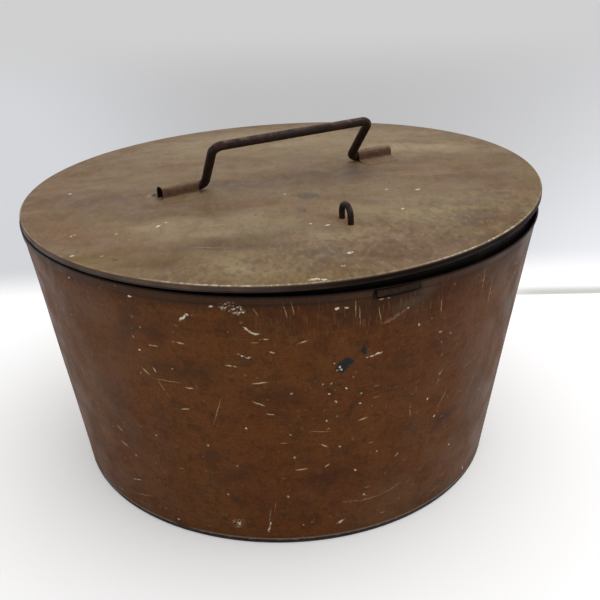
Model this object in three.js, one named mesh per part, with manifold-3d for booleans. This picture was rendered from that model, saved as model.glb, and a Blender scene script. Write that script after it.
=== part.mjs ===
// A large round sheet-metal tin that tapers towards its foot, with a lift-off lid.
// The lid carries a wire handle, which swings in two saddles, and a wire staple for a hasp.
// Millimetres, +Z up. The origin is the centre of the foot. +X runs along the handle,
// and -Y is the front, where the staple and what is left of the hasp are.

import * as THREE from 'three';
import { mergeVertices } from 'three/addons/utils/BufferGeometryUtils.js';
import Module from 'manifold-3d';

const wasm = await Module();
wasm.setup();

// Stock and fits
const sheet = 0.5; // tinplate of the wall, base, lid and collar
const seatGap = 0.3; // between two pieces that touch
const roundSteps = 90; // facets round the tin
const bendSteps = 4; // facets in a fold
const weldTolerance = 1e-4; // corners closer than this are one corner

// Body: one sheet, rolled into a cone, with its upper edge folded outwards
const bodyHeight = 150;
const mouthRadius = 144; // outside of the wall, at the level of the mouth
const footRadius = 124; // outside of the wall, at the floor
const hemHeight = 4.4;
const hemSlack = 0.1; // air that the pressed hem keeps inside
const footFlange = 5; // how far the wall turns in under the base
const seamWidth = 6; // grooved side seam at the back
const seamProud = 0.9;
const seamAzimuth = 90;

// Base: a disc with a turned-up edge, soldered inside the foot
const baseEdge = 4;
const baseBend = 0.4;

// Lid: a crowned disc with a turned-down edge, sprung a little out of flat
const lidOverhang = 0.5; // past the wall, at the level of the mouth
const lidEdge = 3.2; // depth of the turned-down edge
const lidBend = 1.2;
const lidCrown = 3.8;
const lidTwist = 1.085; // the edge rises and falls by this twice round
const lidTwistAzimuth = -13.3;
const lidOffset = [0.25, -0.89]; // where the lid lies on the mouth
const lidTilt = 1.861; // the lid is cocked: its right side stands off the mouth
const lidTiltAzimuth = -18.1;
const crownSteps = 4;
const rimSamples = 360; // places where the edge of the lid is tried against the mouth

// Collar: the plug under the lid
const collarDepth = 16;
const collarRoom = 3.3; // room in the mouth, which lets the lid cock
const collarFlange = 4;
const collarLead = 1; // the lower edge is eased in over this height
const collarEase = 0.4;

// Handle: one bent wire whose ends turn outwards into the saddles
const wireRadius = 2.5;
const wireSides = 10;
const wireSteps = 116;
const handleFoot = 91.4; // between the leg centre lines, at the pivot
const handleSplay = 0.95; // each leg leans out by this at the grip
const handleReach = 33.7; // from the pivot to the centre of the grip
const handleFootBend = 4.2;
const handleGripBend = 5;
const handleTail = 16; // length of wire inside a saddle
const handleLean = 40.25; // from upright towards the front, as it stands at rest

// Saddles: strips bent over the wire, soldered to the lid
const saddleLength = 21.8;
const saddleSheet = 0.5;
const saddleRoom = 0.35; // round the wire
const saddleFrontFlange = 9;
const saddleBackFlange = 4.5;
const saddleStandOff = 0.35; // from the start of the wire's bend to the saddle
const saddleRootRadius = 0.7;
const saddleSlices = 4;
const saddleTopSteps = 8; // facets over the wire
const saddleRootSteps = 3; // facets in the bend down to a flange

// Staple: a wire loop through the lid, clenched below
const haspAzimuth = -93; // the staple and the hasp plate lie on this line
const stapleReach = 85.2; // from the lid's centre
const stapleWire = 1.6;
const stapleSpan = 9.5; // between the leg centre lines
const stapleHeight = 8.5; // from the lid to the top of the centre line
const stapleHoleRoom = 0.3;
const stapleHoleDepth = 3; // a cut this deep goes right through the lid
const stapleHoleSides = 12;
const stapleBend = 2.3;
const stapleTopFlat = 0.02; // straight wire left at the top of the loop
const stapleClench = 6;
const stapleSides = 8;
const stapleSteps = 46;

// Hasp plate: the strip that is left of the hasp, against the hem
const plateWidth = 22.4;
const plateSheet = 0.5;
const plateTop = 0.7; // below the top of the hem, at mid-width
const plateDrop = 0.2; // below the hem's lower edge, at mid-width
const plateOffset = -3; // from the staple's line to mid-width
const plateSkew = 2; // degrees out of level, the right end up
const plateLift = 0.4; // the left end stands off by this much more
const plateSteps = 10;

// Sizes that follow from those above
const wallSlope = (mouthRadius - footRadius) / bodyHeight;
const wallSlant = Math.hypot(1, wallSlope);
const footBend = sheet + seatGap + baseBend;
const hemThickness = 2 * sheet + hemSlack;
const lidRadius = mouthRadius + lidOverhang;
const collarRadius = mouthRadius - sheet - collarRoom;
const saddleStart = handleFoot / 2 + handleFootBend + saddleStandOff;
const saddleBore = wireRadius + saddleRoom;

const radians = THREE.MathUtils.degToRad;

// Outside radius of the wall at a height, moved out square to the wall by a distance
function wallRadius(z, out = 0) {
  return footRadius + wallSlope * z + out * wallSlant;
}

// Height of the lid's upper face above the plane of its edge
function crownAt(radius) {
  return lidCrown * (1 - (radius / lidRadius) ** 2);
}

// How far the sprung lid is out of flat at a point
function twistAt(x, y) {
  const share = (x * x + y * y) / lidRadius ** 2;
  const azimuth = Math.atan2(y, x) - radians(lidTwistAzimuth);
  return lidTwist * share * Math.cos(2 * azimuth);
}

function lidTop(x, y) {
  return crownAt(Math.hypot(x, y)) + twistAt(x, y);
}

// Points on an arc about a centre, from one angle to another, in degrees
function arc(centre, radius, from, to, steps = bendSteps) {
  return Array.from({ length: steps + 1 }, (_, step) => {
    const angle = radians(from + ((to - from) * step) / steps);
    return [centre[0] + radius * Math.cos(angle), centre[1] + radius * Math.sin(angle)];
  });
}

// Drops the data that only shading needs, so that shared corners are one vertex
function weld(geometry) {
  geometry.deleteAttribute('normal');
  geometry.deleteAttribute('uv');
  return mergeVertices(geometry, weldTolerance);
}

// Turns a profile of [radius, height] points about the Z axis
function revolve(profile) {
  const points = profile.map(([radius, height]) => new THREE.Vector2(radius, height));
  const geometry = new THREE.LatheGeometry(points, roundSteps);
  geometry.rotateX(Math.PI / 2);
  return weld(geometry);
}

// Moves every vertex by a function of its place
function reshape(geometry, move) {
  const position = geometry.getAttribute('position');
  const point = new THREE.Vector3();
  for (let index = 0; index < position.count; index += 1) {
    point.fromBufferAttribute(position, index);
    move(point);
    position.setXYZ(index, point.x, point.y, point.z);
  }
  return geometry;
}

function toSolid(geometry) {
  const welded = weld(geometry.clone());
  return new wasm.Manifold(
    new wasm.Mesh({
      numProp: 3,
      vertProperties: new Float32Array(welded.getAttribute('position').array),
      triVerts: new Uint32Array(welded.index.array),
    }),
  );
}

function toGeometry(solid) {
  const mesh = solid.getMesh();
  const geometry = new THREE.BufferGeometry();
  geometry.setAttribute('position', new THREE.BufferAttribute(mesh.vertProperties, 3));
  geometry.setIndex(new THREE.BufferAttribute(mesh.triVerts, 1));
  return geometry;
}

// A wire of round section along a path of straight runs and bends
function wire(path, radius, sides, steps) {
  const section = new THREE.Shape();
  for (let side = 0; side < sides; side += 1) {
    const angle = (2 * Math.PI * side) / sides;
    const place = [radius * Math.cos(angle), radius * Math.sin(angle)];
    if (side === 0) section.moveTo(...place);
    else section.lineTo(...place);
  }
  section.closePath();
  return new THREE.ExtrudeGeometry(section, { steps, extrudePath: path });
}

// A circular bend in one plane, given by its centre and two directions square to each other
class Bend extends THREE.Curve {
  constructor(centre, from, towards, angle) {
    super();
    this.centre = centre;
    this.from = from;
    this.towards = towards;
    this.angle = angle;
  }

  getPoint(share, target = new THREE.Vector3()) {
    const turn = this.angle * share;
    target.copy(this.centre);
    target.addScaledVector(this.from, Math.cos(turn));
    return target.addScaledVector(this.towards, Math.sin(turn));
  }
}

// Joins corners by straight runs, with a bend of the given radius at each inner corner
function bentPath(corners, bends) {
  const path = new THREE.CurvePath();
  let start = corners[0];
  for (let index = 1; index < corners.length - 1; index += 1) {
    const corner = corners[index];
    const arriving = corner.clone().sub(corners[index - 1]).normalize();
    const leaving = corners[index + 1].clone().sub(corner).normalize();
    const angle = arriving.angleTo(leaving);
    const radius = bends[index - 1];
    const setBack = radius * Math.tan(angle / 2);
    const entry = corner.clone().addScaledVector(arriving, -setBack);
    const inward = leaving.clone().addScaledVector(arriving, -arriving.dot(leaving)).normalize();
    const centre = entry.clone().addScaledVector(inward, radius);
    const out = inward.clone().multiplyScalar(-radius);
    const along = arriving.clone().multiplyScalar(radius);
    path.add(new THREE.LineCurve3(start, entry));
    path.add(new Bend(centre, out, along, angle));
    start = corner.clone().addScaledVector(leaving, setBack);
  }
  path.add(new THREE.LineCurve3(start, corners[corners.length - 1]));
  return path;
}

function painted(colour, roughness, metalness = 0.1) {
  return new THREE.MeshStandardMaterial({ color: colour, roughness, metalness, flatShading: true });
}

function piece(name, geometry, material) {
  const mesh = new THREE.Mesh(geometry, material);
  mesh.name = name;
  return mesh;
}

// The wall turns in under the base at the foot and is folded outwards at the mouth
function wallSheet() {
  const slant = THREE.MathUtils.radToDeg(Math.atan(wallSlope));
  const footCentre = [wallRadius(footBend, -footBend), footBend];
  const hemFoot = bodyHeight - hemHeight;
  const foldCentre = [
    wallRadius(bodyHeight - hemThickness / 2, hemThickness / 2 - sheet),
    bodyHeight - hemThickness / 2,
  ];
  return [
    [footRadius - footFlange, 0],
    ...arc(footCentre, footBend, -90, -slant),
    [wallRadius(hemFoot), hemFoot],
    [wallRadius(hemFoot, hemThickness - sheet), hemFoot],
    ...arc(foldCentre, hemThickness / 2, -slant, 180 - slant),
    ...arc(footCentre, footBend - sheet, -slant, -90),
    [footRadius - footFlange, sheet],
    [footRadius - footFlange, 0],
  ];
}

// The side seam is a flat fold that stands proud of the wall from the foot to the hem
function seamFold() {
  const low = footBend;
  const high = bodyHeight - hemHeight / 2;
  const outline = new THREE.Shape();
  outline.moveTo(wallRadius(low, -sheet / 2), low);
  outline.lineTo(wallRadius(low, seamProud), low);
  outline.lineTo(wallRadius(high, seamProud), high);
  outline.lineTo(wallRadius(high, -sheet / 2), high);
  outline.closePath();
  const fold = new THREE.ExtrudeGeometry(outline, { depth: seamWidth, bevelEnabled: false });
  fold.translate(0, 0, -seamWidth / 2);
  fold.rotateX(Math.PI / 2);
  fold.rotateZ(radians(seamAzimuth));
  return fold;
}

function bodyWall() {
  const solid = toSolid(revolve(wallSheet())).add(toSolid(seamFold()));
  return piece('body_wall', toGeometry(solid), painted(0x5a3826, 0.5));
}

function basePlate() {
  const slant = THREE.MathUtils.radToDeg(Math.atan(wallSlope));
  const centre = [wallRadius(footBend, -footBend), footBend];
  const low = sheet + seatGap;
  const face = sheet + seatGap;
  const profile = [
    [0, low],
    ...arc(centre, baseBend, -90, -slant),
    [wallRadius(low + baseEdge, -face), low + baseEdge],
    [wallRadius(low + baseEdge, -face - sheet), low + baseEdge],
    [wallRadius(low + sheet, -face - sheet), low + sheet],
    [0, low + sheet],
  ];
  return piece('base_plate', revolve(profile), painted(0x4a3226, 0.55));
}

// The strip lies over the hem, a little out of level and with its left end lifted
function haspPlate() {
  const high = bodyHeight - plateTop;
  const low = bodyHeight - hemHeight - plateDrop;
  const half = plateWidth / 2;
  const places = Array.from({ length: plateSteps + 1 }, (_, step) => {
    return -half + (plateWidth * step) / plateSteps;
  });
  const outline = new THREE.Shape([
    ...places.map((along) => new THREE.Vector2(along, low)),
    ...places.reverse().map((along) => new THREE.Vector2(along, high)),
  ]);
  const strip = new THREE.ExtrudeGeometry(outline, { depth: plateSheet, bevelEnabled: false });
  const bent = reshape(strip, (point) => {
    const height = point.y + point.x * Math.tan(radians(plateSkew));
    const lift = (plateLift * (half - point.x)) / plateWidth;
    const radius = wallRadius(height, hemThickness - sheet + seatGap + lift + point.z);
    const azimuth = radians(haspAzimuth) + (point.x + plateOffset) / mouthRadius;
    point.set(radius * Math.cos(azimuth), radius * Math.sin(azimuth), height);
  });
  return piece('hasp_plate', weld(bent), painted(0x4d3122, 0.55));
}

// Height of the lid on the hasp's line
function haspLineTop(reach) {
  const azimuth = radians(haspAzimuth);
  return lidTop(reach * Math.cos(azimuth), reach * Math.sin(azimuth));
}

function stapleCorners() {
  const half = stapleSpan / 2;
  const out = half + stapleClench;
  const seat = haspLineTop(stapleReach);
  const lowest = Math.min(haspLineTop(stapleReach - out), haspLineTop(stapleReach + out));
  const below = lowest - sheet - seatGap - stapleWire;
  return { half, seat, below, out };
}

// The lid's two holes for the staple's legs
function stapleHoles() {
  const { half, seat } = stapleCorners();
  return [-half, half].map((along) => {
    const hole = new THREE.CylinderGeometry(
      stapleWire + stapleHoleRoom,
      stapleWire + stapleHoleRoom,
      stapleHoleDepth,
      stapleHoleSides,
    );
    hole.rotateX(Math.PI / 2);
    hole.translate(stapleReach + along, 0, seat - sheet / 2);
    hole.rotateZ(radians(haspAzimuth));
    return toSolid(hole);
  });
}

function lidPlate() {
  const bendRadius = lidRadius - lidBend;
  const edgeTop = crownAt(bendRadius);
  const corner = [bendRadius, edgeTop - lidBend];
  const rings = Array.from({ length: crownSteps }, (_, step) => (bendRadius * step) / crownSteps);
  const profile = [
    ...rings.map((radius) => [radius, crownAt(radius) - sheet]),
    ...arc(corner, lidBend - sheet, 90, 0),
    [lidRadius - sheet, -lidEdge],
    [lidRadius, -lidEdge],
    ...arc(corner, lidBend, 0, 90),
    ...rings.reverse().map((radius) => [radius, crownAt(radius)]),
  ];
  const sprung = reshape(revolve(profile), (point) => {
    point.z += twistAt(point.x, point.y);
  });
  const pierced = stapleHoles().reduce((solid, hole) => solid.subtract(hole), toSolid(sprung));
  return piece('lid_plate', toGeometry(pierced), painted(0x85694b, 0.6));
}

// The collar hangs from a narrow flange that lies against the underside of the lid
function lidCollar() {
  const under = (radius) => crownAt(radius) - sheet - seatGap;
  const inner = collarRadius - collarFlange;
  const foot = -collarDepth;
  const profile = [
    [collarRadius - collarEase, foot],
    [collarRadius, foot + collarLead],
    [collarRadius, under(collarRadius)],
    [inner, under(inner)],
    [inner, under(inner) - sheet],
    [collarRadius - sheet, under(collarRadius) - sheet],
    [collarRadius - sheet, foot + collarLead],
    [collarRadius - collarEase - sheet, foot],
    [collarRadius - collarEase, foot],
  ];
  const sprung = reshape(revolve(profile), (point) => {
    point.z += twistAt(point.x, point.y);
  });
  return piece('lid_collar', sprung, painted(0x3a2a20, 0.6));
}

// The pivot is as high as the wire needs to lie on the lid beside its foot bends
function pivotHeight() {
  const nearest = handleFoot / 2 - wireRadius;
  return lidTop(nearest, 0) + seatGap + wireRadius;
}

// A strip bent over the wire: a round top, upright sides and a flange to front and back
function saddle(name, side) {
  const height = pivotHeight() - lidTop(saddleStart, 0) - seatGap;
  const outer = saddleBore + saddleSheet;
  const root = saddleRootRadius;
  const front = outer + saddleFrontFlange;
  const back = outer + saddleBackFlange;
  const strip = saddleSheet;
  const points = [
    [-front, 0],
    [-saddleBore, 0],
    ...arc([0, height], saddleBore, 180, 0, saddleTopSteps),
    [saddleBore, 0],
    [back, 0],
    [back, strip],
    ...arc([outer + root, strip + root], root, -90, -180, saddleRootSteps),
    ...arc([0, height], outer, 0, 180, saddleTopSteps),
    ...arc([-outer - root, strip + root], root, 0, -90, saddleRootSteps),
    [-front, strip],
  ];
  const outline = new THREE.Shape(points.map((point) => new THREE.Vector2(...point)));
  const steps = saddleSlices;
  const bent = new THREE.ExtrudeGeometry(outline, { depth: saddleLength, steps, bevelEnabled: false });
  bent.rotateX(Math.PI / 2);
  bent.rotateZ(Math.PI / 2);
  bent.translate(side > 0 ? saddleStart : -saddleStart - saddleLength, 0, 0);
  const seated = reshape(bent, (point) => {
    const share = THREE.MathUtils.clamp((height - point.z) / height, 0, 1);
    const drop = lidTop(point.x, point.y) - lidTop(saddleStart, 0);
    point.z += lidTop(saddleStart, 0) + seatGap + share * drop;
  });
  return piece(name, weld(seated), painted(0x4f3a2c, 0.65));
}

// One wire from end to end: tail, foot bend, leg, grip bend, grip, and back down
function handle() {
  const foot = handleFoot / 2;
  const grip = foot + handleSplay;
  const tail = saddleStart + handleTail;
  const corners = [
    [-tail, 0],
    [-foot, 0],
    [-grip, handleReach],
    [grip, handleReach],
    [foot, 0],
    [tail, 0],
  ].map(([x, z]) => new THREE.Vector3(x, 0, z));
  const bends = [handleFootBend, handleGripBend, handleGripBend, handleFootBend];
  const shape = wire(bentPath(corners, bends), wireRadius, wireSides, wireSteps);
  const bail = piece('handle', weld(shape), painted(0x33221a, 0.7, 0.4));
  bail.position.z = pivotHeight();
  bail.rotation.x = radians(handleLean);
  return bail;
}

// The loop stands along the hasp's line, and its ends are turned outwards under the lid
function staple() {
  const { half, seat, below, out } = stapleCorners();
  const top = seat + stapleHeight;
  const corners = [
    [-out, below],
    [-half, below],
    [-half, top],
    [half, top],
    [half, below],
    [out, below],
  ].map(([x, z]) => new THREE.Vector3(stapleReach + x, 0, z));
  const round = half - stapleTopFlat / 2;
  const loop = bentPath(corners, [stapleBend, round, round, stapleBend]);
  const shape = wire(loop, stapleWire, stapleSides, stapleSteps);
  shape.rotateZ(radians(haspAzimuth));
  return piece('staple', weld(shape), painted(0x30201a, 0.7, 0.4));
}

// The lid is lowered until the lowest point of its edge rests on the mouth
function lidRise() {
  const tilt = Math.tan(radians(lidTilt));
  const heights = Array.from({ length: rimSamples }, (_, sample) => {
    const azimuth = (2 * Math.PI * sample) / rimSamples;
    const x = lidRadius * Math.cos(azimuth);
    const y = lidRadius * Math.sin(azimuth);
    const climb = tilt * lidRadius * Math.cos(azimuth - radians(lidTiltAzimuth));
    return climb + twistAt(x, y) - lidEdge;
  });
  return seatGap - Math.min(...heights);
}

const lid = new THREE.Group();
lid.add(lidPlate(), lidCollar(), handle(), staple());
lid.add(saddle('left_saddle', -1), saddle('right_saddle', 1));
lid.position.set(...lidOffset, bodyHeight + lidRise());
const tiltAxis = new THREE.Vector3(
  Math.sin(radians(lidTiltAzimuth)),
  -Math.cos(radians(lidTiltAzimuth)),
  0,
);
lid.quaternion.setFromAxisAngle(tiltAxis, radians(lidTilt));

const tin = new THREE.Group();
tin.add(bodyWall(), basePlate(), haspPlate(), lid);

export default tin;
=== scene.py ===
from math import atan, atan2, copysign, cos, degrees, hypot, pi, radians, sin, sqrt, tan

import bmesh
import bpy
from mathutils import Matrix, Vector, noise


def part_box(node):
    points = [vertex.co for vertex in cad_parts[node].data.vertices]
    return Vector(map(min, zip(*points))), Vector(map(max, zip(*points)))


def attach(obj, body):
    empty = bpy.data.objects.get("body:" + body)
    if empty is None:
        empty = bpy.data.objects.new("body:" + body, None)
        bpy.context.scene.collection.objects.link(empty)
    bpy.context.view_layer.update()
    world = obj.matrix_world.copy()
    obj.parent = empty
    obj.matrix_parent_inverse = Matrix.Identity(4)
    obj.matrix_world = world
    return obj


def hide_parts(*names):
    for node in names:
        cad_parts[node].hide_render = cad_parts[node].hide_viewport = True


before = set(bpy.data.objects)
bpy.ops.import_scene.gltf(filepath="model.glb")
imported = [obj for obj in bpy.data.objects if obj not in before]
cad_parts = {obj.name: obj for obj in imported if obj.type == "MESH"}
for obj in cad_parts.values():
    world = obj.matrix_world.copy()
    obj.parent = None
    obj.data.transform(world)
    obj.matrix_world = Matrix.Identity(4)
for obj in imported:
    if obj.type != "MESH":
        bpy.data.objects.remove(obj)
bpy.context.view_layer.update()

# A large round tapered tin of painted sheet metal, with a lift-off lid, a swinging
# wire handle and a wire staple. Sizes are in millimetres until a mesh is written.
mm = 0.001
print("frame loaded:", ", ".join(sorted(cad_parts)))


# Shared helpers for materials

def srgb(code):
    # linear colour for a hex code
    parts = [int(code[i:i + 2], 16) / 255 for i in (1, 3, 5)]
    return (*[p / 12.92 if p <= 0.04045 else ((p + 0.055) / 1.055) ** 2.4 for p in parts], 1)


def addNode(home, kind, sockets=None, out=0, **settings):
    # adds a shader node, sets it up, fills its sockets with links or values, and gives back one output;
    # `home` is the tree that it goes into, or any socket of that tree
    tree = home.id_data
    node = tree.nodes.new("ShaderNode" + kind)
    for name, value in settings.items():
        setattr(node, name, value)
    for socket, value in (sockets or {}).items():
        if isinstance(value, bpy.types.NodeSocket):
            tree.links.new(value, node.inputs[socket])
        else:
            node.inputs[socket].default_value = value
    return node.outputs[out] if node.outputs else node


def emptyTree(owner):
    # turns on the nodes of a material or a world, and clears them
    owner.use_nodes = True
    owner.node_tree.nodes.clear()
    return owner.node_tree


def surfacePlace(tree):
    # the point on the surface, in millimetres
    metres = addNode(tree, "TexCoord", out="Object")
    return addNode(tree, "VectorMath", {0: metres, "Scale": 1 / mm}, operation="SCALE")


def facingUp(tree):
    # 1 where the surface looks straight up, -1 where it looks straight down
    normal = addNode(tree, "TexCoord", out="Normal")
    return addNode(tree, "SeparateXYZ", {0: normal}, out="Z")


def ramp(value, start, end):
    # 0 at `start` and 1 at `end`, eased
    return addNode(value, "MapRange", {"Value": value, "From Min": start, "From Max": end},
                   interpolation_type="SMOOTHSTEP")


def combined(operation, masks):
    # works several masks into one
    result = masks[0]
    for mask in masks[1:]:
        result = addNode(result, "Math", {0: result, 1: mask}, operation=operation)
    return result


def meet(*masks):
    # as much as every mask lets through
    return combined("MULTIPLY", masks)


def either(*masks):
    # the strongest of the masks
    return combined("MAXIMUM", masks)


def laid(place, scale, turn, start):
    # a place measured from `start` in steps of `scale`, along directions turned by `turn` degrees
    return addNode(place, "Mapping", {
        "Vector": place, "Location": start, "Rotation": (0, 0, radians(turn)), "Scale": scale},
        vector_type="TEXTURE")


def patches(place, size, low, high, stretch=(1, 1), turn=0, seed=0):
    # cloudy patches about `size` mm across, drawn out by `stretch`
    scale = tuple(size * s for s in (*stretch, 1))
    cloud = addNode(place, "TexNoise", {
        "Vector": laid(place, scale, turn, (seed * 370.0, seed * 110.0, seed * 50.0)),
        "Scale": 1, "Detail": 4})
    return ramp(cloud, low, high)


def specks(place, spacing, size, share, stretch=(1, 1), turn=0, seed=0):
    # flecks up to `size` mm long, at most one in each cell of `spacing` mm, in that share of the cells
    scale = tuple(spacing * s for s in (*stretch, 1))
    cells = addNode(place, "TexVoronoi", {
        "Vector": laid(place, scale, turn, (seed * 130.0, seed * 290.0, seed * 70.0)),
        "Scale": 1}).node
    chosen = addNode(place, "SeparateColor", {"Color": cells.outputs["Color"]})
    radius = size / spacing / 2
    grown = addNode(place, "MapRange", {"Value": chosen, "From Min": 1 - share, "To Max": radius})
    inside = addNode(place, "Math", {0: grown, 1: cells.outputs["Distance"]}, operation="SUBTRACT")
    return ramp(inside, 0, radius / 3)


def marks(plane, places, width, soft=0.4):
    # marks given one by one, each as (x, y, length, tilt in degrees) on a flat or unrolled surface
    grow = (1 + soft) / 2
    depths = []
    for x, y, length, tilt in places:
        local = laid(plane, (length * grow, width * grow, 1), tilt, (x, y, 0))
        depths.append(addNode(plane, "TexGradient", {"Vector": local}, out=1, gradient_type="SPHERICAL"))
    return ramp(either(*depths), 0, 2 * soft / (1 + soft))


def ragged(plane, size, amount):
    # shifts a flat place by noise, so that a mark drawn on it gets a broken edge
    jitter = addNode(plane, "TexNoise", {"Vector": plane, "Scale": 1 / size, "Detail": 3}, out="Color")
    centred = addNode(plane, "VectorMath", {0: jitter, 1: (0.5, 0.5, 0.5)}, operation="SUBTRACT")
    return addNode(plane, "VectorMath", {0: centred, 1: (amount, amount, 0), 2: plane},
                   operation="MULTIPLY_ADD")


def clouds(place, coats, turn=0):
    # coats of soft patches, each as (size in mm, low, high, share, colour, and how it is drawn out)
    return [(patches(place, size, low, high, stretch or (1, 1), turn, seed), share, code)
            for seed, (size, low, high, share, code, *stretch) in enumerate(coats, 1)]


def layered(colour, coats):
    # lays each coat's colour over the last, as far as its mask and its share say
    for mask, share, code in coats:
        colour = addNode(mask, "Mix", {0: meet(mask, share), 6: colour, 7: srgb(code)},
                         out=2, data_type="RGBA")
    return colour


def uneven(place, size, low, high, seed):
    # roughness that drifts between two values over `size` mm
    return addNode(place, "MapRange", {
        "Value": patches(place, size, 0.35, 0.7, seed=seed), "To Min": low, "To Max": high})


def grain(place, bumps):
    # fine bumps, each as (size in mm, low, height in mm, seed)
    return [(patches(place, size, low, 0.7, seed=seed), height) for size, low, height, seed in bumps]


def shaderInputs(colour, roughness, shine, bumps):
    # the shader's inputs; the bumps are chained, each a mask and its height in mm, negative for a dent
    normal = None
    for mask, height in bumps:
        inputs = {"Height": mask, "Distance": abs(height) * mm, "Strength": 1}
        if normal is not None:
            inputs["Normal"] = normal
        normal = addNode(mask, "Bump", inputs, invert=height < 0)
    return {"Base Color": colour, "Roughness": roughness, "Specular IOR Level": shine, "Normal": normal}


def makeMaterial(name, build):
    material = bpy.data.materials.new(name)
    tree = emptyTree(material)
    shader = addNode(tree, "BsdfPrincipled", build(tree))
    addNode(tree, "OutputMaterial", {"Surface": shader})
    return material


# Shared helpers for meshes

sharpAngle = 40  # two faces that meet at more degrees than this keep a sharp edge
bendTurn = 7  # degrees from point to point round a bend in a wire


def addObject(name, data):
    # puts a mesh, a lamp or a camera into the scene
    made = bpy.data.objects.new(name, data)
    bpy.context.scene.collection.objects.link(made)
    return made


def writeMesh(name, mesh, material):
    # a bmesh as an object of one material
    data = bpy.data.meshes.new(name)
    mesh.to_mesh(data)
    mesh.free()
    data.materials.append(material)
    return addObject(name, data)


def finishMesh(name, mesh, place, carrier, material, node):
    # writes a bmesh as a piece that rides on a body and stands for its solid
    mesh.transform(Matrix.Scale(mm, 4) @ place)
    bmesh.ops.recalc_face_normals(mesh, faces=mesh.faces)
    piece = writeMesh(name, mesh, material)
    for face in piece.data.polygons:
        face.use_smooth = True
    piece.data.set_sharp_from_angle(angle=radians(sharpAngle))
    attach(piece, carrier)
    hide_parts(node)
    print("made", name, "with", len(piece.data.polygons), "faces")


def clamp(value):
    return max(0, min(1, value))


def ring(mesh, points):
    return [mesh.verts.new(point) for point in points]


def bridge(mesh, first, second, closed=True):
    # quads between two rows of the same length
    count = len(first)
    for i in range(count if closed else count - 1):
        j = (i + 1) % count
        mesh.faces.new((first[i], first[j], second[j], second[i]))


def bridgeAll(mesh, rows, closed=True):
    for first, second in zip(rows, rows[1:]):
        bridge(mesh, first, second, closed)


def revolve(profile, steps, move):
    # turns a profile of (radius, height) about Z; a point on the axis becomes one corner
    mesh = bmesh.new()
    rows = []
    for radius, height in profile:
        count = steps if radius > 0 else 1
        turns = [2 * pi * i / steps for i in range(count)]
        rows.append(ring(mesh, [move(Vector((radius * cos(t), radius * sin(t), height)))
                                for t in turns]))
    for first, second in zip(rows, rows[1:]):
        if len(first) == 1 or len(second) == 1:
            pole, rim = (first[0], second) if len(first) == 1 else (second[0], first)
            for i in range(steps):
                mesh.faces.new((pole, rim[i], rim[(i + 1) % steps]))
        else:
            bridge(mesh, first, second)
    bmesh.ops.remove_doubles(mesh, verts=mesh.verts, dist=1e-4)
    return mesh


def arc(centre, radius, start, end, steps):
    angles = [radians(start + (end - start) * i / steps) for i in range(steps + 1)]
    return [(centre[0] + radius * cos(a), centre[1] + radius * sin(a)) for a in angles]


def spaced(start, end, step):
    # values from start to end, both included, about `step` apart
    count = max(1, round(abs(end - start) / step))
    return [start + (end - start) * i / count for i in range(count + 1)]


def bentLine(corners, bends, step):
    # points along straight runs, with a bend of the given radius at each inner corner
    points = []
    start, last = corners[0], corners[-1]
    for before, corner, after, radius in zip(corners, corners[1:], corners[2:], bends):
        arriving = (corner - before).normalized()
        leaving = (after - corner).normalized()
        angle = arriving.angle(leaving)
        entry = corner - arriving * radius * tan(angle / 2)
        inward = (leaving - arriving * arriving.dot(leaving)).normalized()
        run = max((entry - start).length, step)
        points += [start.lerp(entry, t) for t in spaced(0, 1, step / run)[:-1]]
        points += [entry + inward * radius * (1 - cos(turn)) + arriving * radius * sin(turn)
                   for turn in spaced(0, angle, radians(bendTurn))]
        start = points.pop()
    return points + [start.lerp(last, t) for t in spaced(0, 1, step / (last - start).length)]


def sweep(points, s):
    # a round wire along points of the XZ plane, a little thinner than new and pitted by noise
    tipWidth, tipLength = 0.7, 0.22  # of a filed end, as shares of the radius
    radius, sides = s["wire"], s["sides"]
    mesh = bmesh.new()
    rows = []
    side = Vector((0, 1, 0))
    for index, point in enumerate(points):
        ahead = (points[min(index + 1, len(points) - 1)] - points[max(index - 1, 0)]).normalized()
        side = (side - ahead * side.dot(ahead)).normalized()
        other = ahead.cross(side)
        row = []
        for i in range(sides):
            turn = 2 * pi * i / sides
            out = (side * cos(turn) + other * sin(turn)) * radius
            pits = sum(deep * noise.noise((point + out) / size) for deep, size in s["pits"])
            row.append(point + out * (s["thin"] + pits))
        rows.append(ring(mesh, row))
    bridgeAll(mesh, rows)
    for row, inner in ((rows[0], points[1]), (rows[-1], points[-2])):
        # a filed end: one narrower ring a little further out, closed by a flat face
        middle = sum((v.co for v in row), Vector()) / sides
        out = (middle - inner).normalized()
        tip = ring(mesh, [middle + (v.co - middle) * tipWidth + out * radius * tipLength for v in row])
        bridge(mesh, row, tip)
        mesh.faces.new(tip)
    return mesh


def bentWire(s, outline, bends, middle=0):
    # a wire that is the same to both sides; one side is given, from its end to its top
    corners = [(-x, z) for x, z in outline] + [(x, z) for x, z in reversed(outline)]
    corners = [Vector((middle + x, 0, z)) for x, z in corners]
    return sweep(bentLine(corners, [*bends, *reversed(bends)], s["step"]), s)


# Body: a cone of tinplate, hemmed outwards at the mouth and turned in at the foot

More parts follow.
